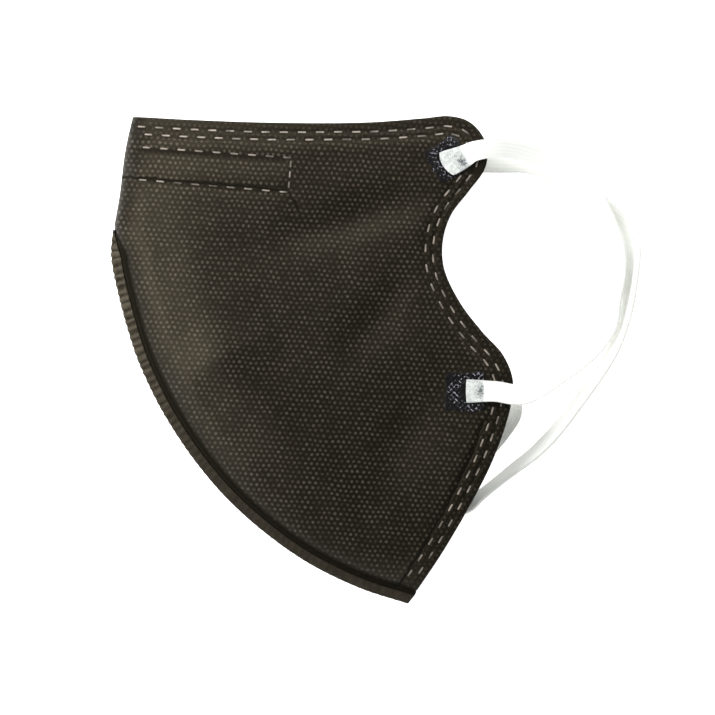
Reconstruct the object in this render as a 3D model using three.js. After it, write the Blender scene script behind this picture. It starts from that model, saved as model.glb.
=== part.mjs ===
// A flat-folding respirator mask, folded in half down its nose line and lying on its far half.
// Millimetres, +Z up. z = 0 is the surface under it, and the origin is the middle of its footprint.
// Both halves close along the nose fold and the front weld on the left, and open towards the right.

import * as THREE from 'three';
import { mergeVertices } from 'three/addons/utils/BufferGeometryUtils.js';

// The laminate and how the two halves lie
const seamHeight = 3.4;      // height of the nose fold and of the front weld
const gap = 0.3;             // clearance between pieces that touch
const wall = 1.6;            // laminate thickness in the body of a half
const rimWall = 1.0;         // laminate thickness where it is welded or folded
const rimBlend = 8;          // how far from an edge the wall reaches its full thickness

// Near half, the upper one: it puffs up beside the seam, springs open over springReach and levels off
const puffRise = 4.6;
const puffReach = 9;
const springRise = 8.3;
const springReach = 30;
const rimDrop = 0.9;
const rimDropReach = 9;

// Far half, the lower one: flat where it rests, drawn up at the seam and lifted over its ear loop
const farReach = 7;
const liftReach = 32;
const rideShare = 0.3;       // how much of that lift the near half follows

// Pocket that the nose clip is sealed in, raised between its two weld rows
const pocket = { startX: -57, startY: 59.3, endX: -6.5, endY: 55.5, halfWidth: 5, edge: 1.8, rise: 0.9 };

// Knurled front weld
const weldWidth = 3.3;
const weldThickness = 1.2;
const weldStart = 32;        // along the front edge, from the nose corner
const weldTaper = 12;
const ridgePitch = 2.2;
const ridgeDepth = 0.16;
const chinSkew = 1.3;        // the weld's end is cut along the rear edge

// Flat elastic of the ear loops
const bandWidth = 6.2;
const bandThickness = 1.1;

// Mesh fineness
const ribCount = 48;
const cellsPerRib = 16;
const bandStep = 2.8;

const table = (columns, rows) =>
  rows.map((row) => Object.fromEntries(columns.map((name, i) => [name, row[i]])));

// Outline, seen from above: the folded and welded front, from the nose corner down to the chin
const frontEdge = table(['x', 'y'], [
  [-53.9, 73.0],
  [-56.1, 63.0],
  [-57.9, 49.0],
  [-59.9, 37.0],
  [-60.2, 31.0],
  [-57.4, 17.0],
  [-51.4, -2.0],
  [-40.5, -22.5],
  [-25.0, -42.0],
  [-4.4, -58.8],
  [13.9, -68.2],
  [28.9, -73.1],
]);

// and the open rear: top edge, upper lobe, ear notch, lower lobe and the run down to the chin
const rearEdge = table(['x', 'y'], [
  [-52.2, 73.0],
  [-36.0, 72.0],
  [-12.0, 71.1],
  [16.0, 71.1],
  [33.0, 72.3],
  [41.0, 73.0],
  [46.6, 71.6],
  [50.4, 68.2],
  [52.6, 63.0],
  [51.8, 57.2],
  [47.0, 50.5],
  [41.8, 43.6],
  [39.3, 36.0],
  [39.6, 27.5],
  [44.2, 17.5],
  [51.0, 8.5],
  [57.2, 1.6],
  [60.2, -6.0],
  [59.4, -14.5],
  [54.6, -29.0],
  [48.0, -42.4],
  [39.2, -57.6],
  [31.7, -69.0],
]);

// How far the far half's rim is lifted off the surface, by the share of the rear edge
const rimLift = table(['share', 'lift'], [
  [0.0, 0.0],
  [0.2, 1.6],
  [0.4, 2.4],
  [0.58, 2.4],
  [0.76, 3.2],
  [0.87, 6.9],
  [0.95, 3.0],
  [1.0, 0.0],
]);

// Soft dents and swells of the near half: middle, direction in degrees, half length and width, height
const folds = table(['x', 'y', 'turn', 'long', 'wide', 'height'], [
  [12, 49, 22, 20, 7, -0.8],
  [-3, 42, -50, 16, 5, -0.5],
  [20, 16, 25, 24, 8, -0.7],
  [-31, -2, 20, 16, 8, 0.7],
  [2, -34, -35, 26, 9, 0.5],
  [28, -24, 60, 22, 8, -0.5],
]);

// Ear loop routes: middle of the band, and roll, 0 with its face level and 90 on edge
const routeColumns = ['x', 'y', 'z', 'roll'];
const nearRoute = table(routeColumns, [
  [40.6, 59.7, 17.4, 0],
  [45.1, 61.5, 17.7, 6],
  [47.8, 62.8, 18.2, 16],
  [51.0, 63.4, 18.4, 22],
  [55.3, 63.6, 17.3, 24],
  [59.5, 63.3, 15.5, 22],
  [64.0, 62.1, 13.2, 18],
  [70.0, 60.0, 10.3, 12],
  [75.9, 56.7, 7.9, 10],
  [81.4, 52.5, 6.0, 12],
  [85.6, 47.1, 4.8, 22],
  [88.3, 42.6, 4.2, 36],
  [90.5, 38.1, 3.8, 46],
  [92.3, 33.5, 3.5, 58],
  [93.1, 27.6, 3.3, 72],
  [92.6, 22.8, 3.3, 74],
  [91.7, 19.2, 3.2, 70],
  [91.0, 16.2, 3.1, 60],
  [90.5, 13.2, 2.9, 52],
  [89.6, 10.2, 2.8, 48],
  [88.0, 7.5, 2.8, 42],
  [85.3, 4.4, 2.9, 30],
  [81.7, 1.4, 3.9, 16],
  [78.4, -1.2, 5.9, 8],
  [74.8, -3.7, 8.6, 6],
  [70.9, -6.4, 11.6, 6],
  [66.7, -9.0, 14.4, 10],
  [63.2, -10.4, 16.3, 14],
  [59.6, -10.2, 16.9, 9],
  [55.8, -9.5, 17.0, 4],
  [51.0, -9.3, 17.0, 0],
  [46.3, -9.3, 16.8, 0],
]);
const farRoute = table(routeColumns, [
  [40.6, 59.4, 0.9, 0],
  [46.2, 59.4, 1.3, 0],
  [51.7, 59.4, 1.5, 0],
  [58.0, 59.3, 1.4, 0],
  [64.2, 59.2, 1.1, 0],
  [70.0, 57.7, 0.9, 2],
  [75.4, 54.9, 1.0, 6],
  [79.5, 52.3, 1.2, 10],
  [83.4, 49.4, 1.5, 16],
  [87.4, 46.3, 1.8, 20],
  [92.0, 43.2, 2.1, 24],
  [95.2, 39.9, 2.2, 26],
  [96.4, 35.8, 2.5, 32],
  [96.5, 30.6, 2.8, 42],
  [96.0, 24.6, 3.0, 50],
  [95.2, 18.4, 3.1, 54],
  [94.0, 12.6, 3.2, 58],
  [92.4, 7.4, 3.2, 60],
  [90.0, 1.8, 3.2, 62],
  [86.0, -4.6, 3.2, 62],
  [79.8, -13.0, 3.2, 58],
  [73.1, -21.6, 3.1, 55],
  [66.8, -28.0, 3.1, 57],
  [60.8, -32.6, 3.2, 62],
  [55.6, -36.7, 3.2, 66],
  [50.4, -40.9, 3.1, 62],
  [46.4, -43.8, 2.7, 46],
  [42.6, -43.8, 2.3, 34],
  [41.0, -40.4, 2.1, 28],
  [43.0, -36.0, 1.7, 20],
  [47.4, -31.6, 1.3, 12],
  [52.2, -26.8, 1.0, 6],
  [56.8, -21.4, 0.9, 0],
  [60.2, -15.6, 1.2, 2],
  [59.2, -11.5, 1.6, 4],
  [55.0, -9.6, 1.8, 0],
  [50.5, -9.3, 1.5, 0],
  [46.3, -9.3, 1.0, 0],
]);

const fabric = () => new THREE.MeshStandardMaterial({ color: 0x2d2924, roughness: 0.85, metalness: 0 });
const weldedFabric = () => new THREE.MeshStandardMaterial({ color: 0x37332d, roughness: 0.6, metalness: 0 });
const elastic = () => new THREE.MeshStandardMaterial({ color: 0xf2f2ef, roughness: 0.9, metalness: 0 });

const smooth = (share) => THREE.MathUtils.smoothstep(share, 0, 1);

// Quarter ellipse: rises straight up from an edge and levels off at a share of 1
const roundRise = (share) => Math.sqrt(1 - (1 - THREE.MathUtils.clamp(share, 0, 1)) ** 2);

const edgeCurve = (rows) => {
  const points = rows.map(({ x, y }) => new THREE.Vector3(x, y, 0));
  const curve = new THREE.CatmullRomCurve3(points, false, 'centripetal');
  curve.arcLengthDivisions = 600;
  return curve;
};
const frontCurve = edgeCurve(frontEdge);
const rearCurve = edgeCurve(rearEdge);
const frontLength = frontCurve.getLength();

// A point of the front edge moved inwards, with the weld's width left free where there is one
const frontPoint = (share, inwards) => {
  const tangent = frontCurve.getTangentAt(share);
  return frontCurve.getPointAt(share).add(new THREE.Vector3(-tangent.y, tangent.x, 0).multiplyScalar(inwards));
};
const weldInset = (share) => (weldWidth + gap) * smooth((share * frontLength - weldStart) / weldTaper);
const panelFront = (share) => frontPoint(share, weldInset(share));

const samples = 240;
const shares = Array.from({ length: samples + 1 }, (_, i) => i / samples);
const frontSamples = shares.map(panelFront);
const rearSamples = shares.map((share) => rearCurve.getPointAt(share));

// Distance from a sampled edge, and where along it that is, from 0 to 1
const nearest = (line, x, y) => {
  const point = new THREE.Vector3(x, y, 0);
  const foot = new THREE.Vector3();
  let best = { distance: Infinity, share: 0 };
  for (let i = 0; i < line.length - 1; i += 1) {
    const segment = new THREE.Line3(line[i], line[i + 1]);
    const along = segment.closestPointToPointParameter(point, true);
    const distance = segment.at(along, foot).distanceTo(point);
    if (distance < best.distance) best = { distance, share: (i + along) / (line.length - 1) };
  }
  return best;
};

const liftAt = (share) => {
  const next = Math.max(1, rimLift.findIndex((row) => row.share >= share));
  const from = rimLift[next - 1];
  const to = rimLift[next];
  return THREE.MathUtils.lerp(from.lift, to.lift, smooth((share - from.share) / (to.share - from.share)));
};

const rimRise = (front, rear, share) =>
  liftAt(share) * (1 - smooth(rear / liftReach)) * smooth(front / farReach);

const pocketRise = (x, y) => {
  const length = Math.hypot(pocket.endX - pocket.startX, pocket.endY - pocket.startY);
  const alongX = (pocket.endX - pocket.startX) / length;
  const alongY = (pocket.endY - pocket.startY) / length;
  const along = (x - pocket.startX) * alongX + (y - pocket.startY) * alongY;
  const across = Math.abs((y - pocket.startY) * alongX - (x - pocket.startX) * alongY);
  const inside = smooth((pocket.halfWidth - across) / pocket.edge) * smooth((length - along) / pocket.edge);
  return pocket.rise * inside;
};

const foldRise = (x, y) => folds.reduce((sum, fold) => {
  const turn = THREE.MathUtils.degToRad(fold.turn);
  const along = (x - fold.x) * Math.cos(turn) + (y - fold.y) * Math.sin(turn);
  const across = (y - fold.y) * Math.cos(turn) - (x - fold.x) * Math.sin(turn);
  return sum + fold.height * Math.exp(-((along / fold.long) ** 2) - (across / fold.wide) ** 2);
}, 0);

// What both faces of a half need to know about a place on it
const placeOn = (x, y) => {
  const front = nearest(frontSamples, x, y).distance;
  const { distance: rear, share } = nearest(rearSamples, x, y);
  const thickness = rimWall + (wall - rimWall) * smooth(Math.min(front, rear) / rimBlend);
  return { x, y, front, rear, share, thickness };
};

// Heights of the near half. The inner face is the outer one drawn in by the wall.
const nearHeight = ({ x, y, front, rear, share }, drawnIn, thickness) => {
  const puff = (puffRise - thickness) * roundRise((front - drawnIn) / (puffReach - drawnIn));
  const drop = rimDrop * (1 - smooth(rear / rimDropReach)) * smooth(front / puffReach);
  const soft = foldRise(x, y) * smooth(front / puffReach) * smooth(rear / rimDropReach);
  const ride = rideShare * rimRise(front, rear, share);
  const spring = springRise * (1 - Math.exp((drawnIn - front) / springReach));
  return seamHeight + gap / 2 + puff + spring - drop + soft + ride;
};
const near = {
  outer: (place) => nearHeight(place, 0, 0) + pocketRise(place.x, place.y) * smooth(place.front / rimBlend),
  inner: (place) => nearHeight(place, rimWall, place.thickness),
};

// Heights of the far half, whose outer face is the one that lies on the surface
const farHeight = ({ front, rear, share }, drawnIn, thickness) => {
  const drawnUp = seamHeight - gap / 2;
  const sag = (drawnUp - thickness) * roundRise((front - drawnIn) / (farReach - drawnIn));
  return drawnUp - sag + rimRise(front, rear, share);
};
const far = {
  outer: (place) => farHeight(place, 0, 0),
  inner: (place) => farHeight(place, rimWall, place.thickness),
};

const solid = (name, vertices, faces, material) => {
  const geometry = new THREE.BufferGeometry();
  geometry.setAttribute('position', new THREE.Float32BufferAttribute(vertices.flatMap((v) => v.toArray()), 3));
  geometry.setIndex(faces.flat());
  const mesh = new THREE.Mesh(mergeVertices(geometry, 1e-4), material);
  mesh.name = name;
  return mesh;
};

// One face of a half: ribs run from the front edge to the rear one, closer set near both
const faceGrid = (height, drawnIn) => {
  const grid = [];
  for (let rib = 0; rib <= ribCount; rib += 1) {
    const share = rib / ribCount;
    const start = frontPoint(share, weldInset(share) + drawnIn);
    const end = rearCurve.getPointAt(share);
    for (let cell = 0; cell <= cellsPerRib; cell += 1) {
      const along = (1 - Math.cos((Math.PI * cell) / cellsPerRib)) / 2;
      const { x, y } = start.clone().lerp(end, along);
      const place = placeOn(x, y);
      if (cell === 0) place.front = drawnIn;
      grid.push(new THREE.Vector3(x, y, height(place)));
    }
  }
  return grid;
};

// A half is its upper and lower face grids, closed round their edges
const panel = (name, upper, lower) => {
  const row = cellsPerRib + 1;
  const below = upper.length;
  const faces = [];
  const quad = (a, b, c, d) => faces.push([a, b, c], [a, c, d]);
  for (let rib = 0; rib < ribCount; rib += 1) {
    for (let cell = 0; cell < cellsPerRib; cell += 1) {
      const a = rib * row + cell;
      quad(a, a + row, a + row + 1, a + 1);
      quad(below + a, below + a + 1, below + a + row + 1, below + a + row);
    }
    const front = rib * row;
    const rear = front + cellsPerRib;
    quad(front, below + front, below + front + row, front + row);
    quad(rear, rear + row, below + rear + row, below + rear);
  }
  for (let cell = 0; cell < cellsPerRib; cell += 1) {
    const nose = cell;
    const chin = ribCount * row + cell;
    quad(nose, nose + 1, below + nose + 1, below + nose);
    quad(chin, below + chin, below + chin + 1, chin + 1);
  }
  return solid(name, [...upper, ...lower], faces, fabric());
};

// The knurled weld: a flat strip along the front edge, thinner and narrower in every second section
const frontWeld = () => {
  const startShare = (weldStart + weldTaper / 3) / frontLength;
  const sections = Math.round((frontLength * (1 - startShare)) / (ridgePitch / 2));
  const vertices = [];
  const faces = [];
  for (let i = 0; i <= sections; i += 1) {
    const share = THREE.MathUtils.lerp(startShare, 1, i / sections);
    const valley = i % 2 === 1 ? ridgeDepth : 0;
    const half = weldThickness / 2 - valley;
    const outer = frontPoint(share, valley);
    const inner = frontPoint(share, weldInset(share) - gap);
    const toChin = smooth((share - 1) * frontLength / weldTaper + 1);
    inner.addScaledVector(frontCurve.getTangentAt(share), chinSkew * toChin);
    for (const [point, side] of [[outer, 1], [inner, 1], [inner, -1], [outer, -1]]) {
      vertices.push(new THREE.Vector3(point.x, point.y, seamHeight + side * half));
    }
  }
  const quad = (a, b, c, d) => faces.push([a, b, c], [a, c, d]);
  for (let i = 0; i < sections; i += 1) {
    for (let side = 0; side < 4; side += 1) {
      const a = i * 4 + side;
      const b = i * 4 + ((side + 1) % 4);
      quad(a, a + 4, b + 4, b);
    }
  }
  quad(0, 1, 2, 3);
  const last = sections * 4;
  quad(last + 3, last + 2, last + 1, last);
  return solid('front_weld', vertices, faces, weldedFabric());
};

// A route whose frames keep the band's face level, turned by the roll of the nearest rows
class BandRoute extends THREE.CatmullRomCurve3 {
  constructor(rows) {
    super(rows.map(({ x, y, z }) => new THREE.Vector3(x, y, z)), false, 'centripetal');
    this.rows = rows;
  }

  rollAt(share) {
    const place = this.getUtoTmapping(share) * (this.rows.length - 1);
    const from = Math.min(Math.floor(place), this.rows.length - 2);
    const roll = THREE.MathUtils.lerp(this.rows[from].roll, this.rows[from + 1].roll, place - from);
    return THREE.MathUtils.degToRad(roll);
  }

  computeFrenetFrames(steps) {
    const frames = { tangents: [], normals: [], binormals: [] };
    for (let i = 0; i <= steps; i += 1) {
      const tangent = this.getTangentAt(i / steps);
      const side = new THREE.Vector3(0, 0, 1).cross(tangent).normalize();
      side.applyAxisAngle(tangent, this.rollAt(i / steps));
      frames.tangents.push(tangent);
      frames.normals.push(side);
      frames.binormals.push(new THREE.Vector3().crossVectors(tangent, side));
    }
    return frames;
  }
}

const bandSection = () => {
  const halfWidth = bandWidth / 2;
  const halfThickness = bandThickness / 2;
  const corner = halfThickness * 0.6;
  return new THREE.Shape([
    new THREE.Vector2(halfWidth, -halfThickness + corner),
    new THREE.Vector2(halfWidth, halfThickness - corner),
    new THREE.Vector2(halfWidth - corner, halfThickness),
    new THREE.Vector2(-halfWidth + corner, halfThickness),
    new THREE.Vector2(-halfWidth, halfThickness - corner),
    new THREE.Vector2(-halfWidth, -halfThickness + corner),
    new THREE.Vector2(-halfWidth + corner, -halfThickness),
    new THREE.Vector2(halfWidth - corner, -halfThickness),
  ]);
};

const earLoop = (name, rows) => {
  const route = new BandRoute(rows);
  const steps = Math.round(route.getLength() / bandStep);
  const geometry = new THREE.ExtrudeGeometry(bandSection(), { extrudePath: route, steps, bevelEnabled: false });
  geometry.deleteAttribute('normal');
  geometry.deleteAttribute('uv');
  const mesh = new THREE.Mesh(mergeVertices(geometry, 1e-4), elastic());
  mesh.name = name;
  return mesh;
};

const mask = new THREE.Group();
mask.add(
  panel('near_half', faceGrid(near.outer, 0), faceGrid(near.inner, rimWall)),
  panel('far_half', faceGrid(far.inner, rimWall), faceGrid(far.outer, 0)),
  frontWeld(),
  earLoop('near_ear_loop', nearRoute),
  earLoop('far_ear_loop', farRoute),
);

export default mask;
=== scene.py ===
# A flat-folding respirator mask, lying folded on its far half with its ear loops out to the right.
# Metres, +Z up. z = 0 is the surface it lies on. Sizes in the dictionaries are millimetres.
import math
import bmesh
import bpy
import numpy as np
from mathutils import Matrix, Vector
from mathutils.bvhtree import BVHTree


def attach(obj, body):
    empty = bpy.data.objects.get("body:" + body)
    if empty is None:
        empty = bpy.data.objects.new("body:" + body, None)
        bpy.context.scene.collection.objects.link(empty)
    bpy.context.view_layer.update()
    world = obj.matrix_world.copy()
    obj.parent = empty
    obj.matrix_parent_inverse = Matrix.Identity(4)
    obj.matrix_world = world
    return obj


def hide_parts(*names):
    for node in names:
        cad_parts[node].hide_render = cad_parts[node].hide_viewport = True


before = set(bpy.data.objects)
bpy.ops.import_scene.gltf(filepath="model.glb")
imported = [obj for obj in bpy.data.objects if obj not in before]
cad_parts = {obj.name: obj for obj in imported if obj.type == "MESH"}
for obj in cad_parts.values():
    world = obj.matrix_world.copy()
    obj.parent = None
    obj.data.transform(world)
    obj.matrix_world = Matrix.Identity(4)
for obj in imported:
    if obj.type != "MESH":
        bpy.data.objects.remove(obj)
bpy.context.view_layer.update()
mm = 0.001


# Camera: looks straight down from far off, so the mask shows without perspective
camera = {"x": 13.7, "y": 0.75, "focusHeight": 8, "distance": 2400, "frameWidth": 214.5, "sensor": 36}


def makeCamera(c):
    data = bpy.data.cameras.new("camera")
    data.sensor_width = c["sensor"]
    data.lens = c["sensor"] * c["distance"] / c["frameWidth"]
    data.clip_start = 0.1
    data.clip_end = 10
    obj = bpy.data.objects.new("camera", data)
    obj.location = (c["x"] * mm, c["y"] * mm, (c["focusHeight"] + c["distance"]) * mm)
    bpy.context.scene.collection.objects.link(obj)
    bpy.context.scene.camera = obj


makeCamera(camera)
print("camera placed")


# Small helpers for numbers and meshes

def smooth(share):
    s = np.clip(share, 0, 1)
    return s * s * (3 - 2 * s)


def roundRise(share):  # quarter ellipse: straight up from an edge, level at 1
    return np.sqrt(1 - (1 - np.clip(share, 0, 1)) ** 2)


def bell(distance, width):
    return np.exp(-((distance / width) ** 2))


def splinePoints(rows, perSpan):
    # centripetal spline through the rows; columns past the third only ride along
    p = np.array(rows, float)
    p = np.vstack([2 * p[0] - p[1], p, 2 * p[-1] - p[-2]])
    gaps = np.maximum(np.linalg.norm(np.diff(p[:, :3], axis=0), axis=1) ** 0.5, 1e-9)
    out = []
    for i in range(1, len(p) - 2):
        a, b, c = gaps[i - 1], gaps[i], gaps[i + 1]
        start = ((p[i] - p[i - 1]) / a - (p[i + 1] - p[i - 1]) / (a + b) + (p[i + 1] - p[i]) / b) * b
        end = ((p[i + 1] - p[i]) / b - (p[i + 2] - p[i]) / (b + c) + (p[i + 2] - p[i + 1]) / c) * b
        t = np.arange(perSpan + (i == len(p) - 3))[:, None] / perSpan
        rise = p[i + 1] - p[i]
        out.append(p[i] + start * t + (3 * rise - 2 * start - end) * t**2 + (start + end - 2 * rise) * t**3)
    return np.vstack(out)


def lengths(line):
    return np.concatenate([[0], np.cumsum(np.linalg.norm(np.diff(line[:, :3], axis=0), axis=1))])


def pointsAt(line, distances):
    run = lengths(line)
    return np.stack([np.interp(distances, run, line[:, i]) for i in range(line.shape[1])], axis=1)


def directions(line):
    step = np.gradient(line, axis=0)
    return step / np.linalg.norm(step, axis=1)[:, None]


def gridMesh(columns, rows, *layers):
    # a flat grid with its data layers, and each vertex's place on it from 0 to 1 both ways
    bm = bmesh.new()
    for layer in layers:
        bm.verts.layers.float_vector.new(layer)
    bmesh.ops.create_grid(bm, x_segments=columns, y_segments=rows, size=0.5)
    bm.verts.ensure_lookup_table()
    place = np.array([(v.co.x + 0.5, v.co.y + 0.5) for v in bm.verts])
    return bm, place


def slabMesh(columns, rows, *layers):
    # two such grids joined round their borders: the upper and lower vertices, each with their places
    bm, place = gridMesh(columns, rows, *layers)
    lower = list(bm.verts)
    made = bmesh.ops.extrude_face_region(bm, geom=bm.faces[:], use_keep_orig=True)
    upper = [v for v in made["geom"] if isinstance(v, bmesh.types.BMVert)]
    upperPlace = np.array([(v.co.x + 0.5, v.co.y + 0.5) for v in upper])
    return bm, (upper, upperPlace), (lower, place)


def moveTo(verts, points):
    for vert, point in zip(verts, points):
        vert.co = point


def finished(name, bm, material, sharp=50):
    mesh = bpy.data.meshes.new(name)
    bm.to_mesh(mesh)
    bm.free()
    mesh.materials.append(material)
    mesh.shade_smooth()
    mesh.set_sharp_from_angle(angle=math.radians(sharp))
    obj = bpy.data.objects.new(name, mesh)
    bpy.context.scene.collection.objects.link(obj)
    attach(obj, "root")
    return obj


# Small helpers for materials

def hexColour(text):
    channels = [int(text[i:i + 2], 16) / 255 for i in (0, 2, 4)]
    return (*[c / 12.92 if c <= 0.04045 else ((c + 0.055) / 1.055) ** 2.4 for c in channels], 1)


def newMaterial(name):
    material = bpy.data.materials.new(name)
    material.use_nodes = True
    tree = material.node_tree
    return material, tree, tree.nodes["Principled BSDF"]


def setInputs(tree, node, inputs):
    # each input is a value, a socket, or a node that stands for its first output in use
    for name, value in dict(inputs).items():
        if isinstance(value, bpy.types.Node):
            value = next(out for out in value.outputs if out.enabled)
        if isinstance(value, bpy.types.NodeSocket):
            tree.links.new(value, node.inputs[name])
        else:
            node.inputs[name].default_value = value


def addNode(tree, kind, inputs=(), **settings):
    node = tree.nodes.new("ShaderNode" + kind)
    for name, value in settings.items():
        setattr(node, name, value)
    setInputs(tree, node, inputs)
    return node


noiseLow, noiseHigh = 0.35, 0.65  # nearly all of a noise texture lies between these


# White knitted elastic, polyester over rubber: matt, with fine ribs along it and a small chain of
# stitches on each rib. It scatters light softly and lets a little through. Sizes of patterns are in mm.
knit = {
    "colour": "ebece8", "shade": "e0e2dd", "pressed": "b0b4b2", "bare": "565b5d",
    "ribPitch": 1.15, "stitchPitch": 0.75, "stitchLean": 1.3, "ribShare": 0.9,
    "fuzzSize": 0.5882, "fuzzShare": 1.6, "bump": 0.28, "bumpDepth": 0.05, "toneLow": -1.2, "toneHigh": 2.2,
    "mottleSize": 1.111, "wear": (1.8, 3.6),
    "speckSize": 0.4762, "speckShare": 2.2, "speckLevels": (1.5, 2.1), "endLevels": (0.1, 0.25),
    "roughness": 0.82, "gloss": 0.25, "sheen": 0.15, "through": 0.3, "depth": 1.8,
}


def makeKnit(k):
    material, tree, shader = newMaterial("knitted white elastic")
    band = addNode(tree, "Attribute", attribute_name="band").outputs["Vector"]
    along, across, press = addNode(tree, "SeparateXYZ", {0: band}).outputs  # mm, mm, press of the welded end
    row = addNode(tree, "Math", {0: along, 1: 2 * math.pi / k["stitchPitch"]}, operation="MULTIPLY")
    column = addNode(tree, "Math", {0: across, 1: 2 * math.pi / k["ribPitch"]}, operation="MULTIPLY")
    rib = addNode(tree, "Math", {0: column}, operation="COSINE")
    slant = addNode(tree, "Math", {0: rib, 1: k["stitchLean"], 2: row}, operation="MULTIPLY_ADD")
    stitch = addNode(tree, "Math", {0: slant}, operation="SINE")
    relief = addNode(tree, "Math", {0: rib, 1: k["ribShare"], 2: stitch}, operation="MULTIPLY_ADD")
    place = addNode(tree, "TexCoord").outputs["Object"]
    fuzz = addNode(tree, "TexNoise", {"Vector": place, "Scale": 1 / (k["fuzzSize"] * mm), "Detail": 3})
    height = addNode(tree, "Math", {0: fuzz, 1: k["fuzzShare"], 2: relief}, operation="MULTIPLY_ADD")
    bump = addNode(tree, "Bump", {"Height": height, "Strength": k["bump"], "Distance": k["bumpDepth"] * mm})
    tone = addNode(tree, "MapRange", {0: height, 1: k["toneLow"], 2: k["toneHigh"]})
    cloth = addNode(tree, "Mix", {0: tone, 6: hexColour(k["shade"]), 7: hexColour(k["colour"])},
                    data_type="RGBA")
    # the welded end is pressed thin and grey, and the dark laminate shows through in specks
    mottle = addNode(tree, "TexNoise", {"Vector": place, "Scale": 1 / (k["mottleSize"] * mm), "Detail": 3})
    thin = addNode(tree, "MapRange",
                   {0: mottle, 1: noiseLow, 2: noiseHigh, 3: k["wear"][0], 4: k["wear"][1]})
    worn = addNode(tree, "Math", {0: thin, 1: press}, operation="MULTIPLY", use_clamp=True)
    pressed = addNode(tree, "Mix", {0: worn, 6: cloth, 7: hexColour(k["pressed"])}, data_type="RGBA")
    specks = addNode(tree, "TexNoise", {"Vector": place, "Scale": 1 / (k["speckSize"] * mm), "Detail": 2})
    uneven = addNode(tree, "Math", {0: specks, 1: k["speckShare"], 2: press}, operation="MULTIPLY_ADD")
    bare = addNode(tree, "MapRange", {0: uneven, 1: k["speckLevels"][0], 2: k["speckLevels"][1]},
                   interpolation_type="SMOOTHSTEP")
    inEnd = addNode(tree, "MapRange", {0: press, 1: k["endLevels"][0], 2: k["endLevels"][1]})
    dark = addNode(tree, "Math", {0: bare, 1: inEnd}, operation="MULTIPLY")
    stained = addNode(tree, "Mix", {0: dark, 6: pressed, 7: hexColour(k["bare"])}, data_type="RGBA")
    setInputs(tree, shader, {
        "Base Color": stained, "Normal": bump, "Roughness": k["roughness"], "Specular IOR Level": k["gloss"],
        "Sheen Weight": k["sheen"], "Subsurface Weight": k["through"], "Subsurface Radius": (1, 1, 1),
        "Subsurface Scale": k["depth"] * mm,
    })
    return material


knitMaterial = makeKnit(knit)

# Flat elastic bands, welded on at both ends. Rows: middle of the band in metres, and its roll in degrees.
bandSize = {
    "width": 6.2, "thickness": 1.0, "ribs": 5, "ribDepth": 0.07, "flatShare": 0.93, "step": 0.4,
    "weldLength": 5.2, "weldThickness": 0.55, "weldFadeLead": 0.6, "weldFade": 1.4,
    "flareReach": 3, "asideReach": 26,
    "stainInset": 0.9, "stainLength": 0.9, "stainWidth": 0.5, "stainShare": 0.7,
}
nearBand = {
    "name": "near_loop_band",
    "node": "near_ear_loop",
    "ends": [
        {"flare": 0.27, "slant": 12, "bow": 1.2, "longer": 0.7, "aside": -0.9, "stain": -0.35},
        {"flare": 0.13, "slant": 0, "bow": 0.2, "longer": 0, "aside": 0, "stain": 0},
    ],
    "route": [
        (0.0406, 0.0597, 0.0174, 0), (0.0451, 0.0615, 0.0177, 6), (0.0478, 0.0628, 0.0182, 16),
        (0.0510, 0.0634, 0.0184, 22), (0.0553, 0.0636, 0.0173, 24), (0.0595, 0.0633, 0.0155, 22),
        (0.0640, 0.0621, 0.0132, 18), (0.0700, 0.0600, 0.0103, 12), (0.0759, 0.0567, 0.0079, 10),
        (0.0814, 0.0525, 0.0060, 12), (0.0856, 0.0471, 0.0048, 22), (0.0883, 0.0426, 0.0042, 36),
        (0.0905, 0.0381, 0.0038, 46), (0.0923, 0.0335, 0.0035, 58), (0.0931, 0.0276, 0.0033, 72),
        (0.0926, 0.0228, 0.0033, 74), (0.0917, 0.0192, 0.0032, 70), (0.0910, 0.0162, 0.0031, 60),
        (0.0905, 0.0132, 0.0029, 52), (0.0896, 0.0102, 0.0028, 48), (0.0880, 0.0075, 0.0028, 42),
        (0.0853, 0.0044, 0.0029, 30), (0.0817, 0.0014, 0.0039, 16), (0.0784, -0.0012, 0.0059, 8),
        (0.0748, -0.0037, 0.0086, 6), (0.0709, -0.0064, 0.0116, 6), (0.0667, -0.0090, 0.0144, 10),
        (0.0632, -0.0104, 0.0163, 14), (0.0596, -0.0102, 0.0169, 9), (0.0558, -0.0095, 0.0170, 4),
        (0.0510, -0.0093, 0.0170, 0), (0.0463, -0.0093, 0.0168, 0),
    ],
}
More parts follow.
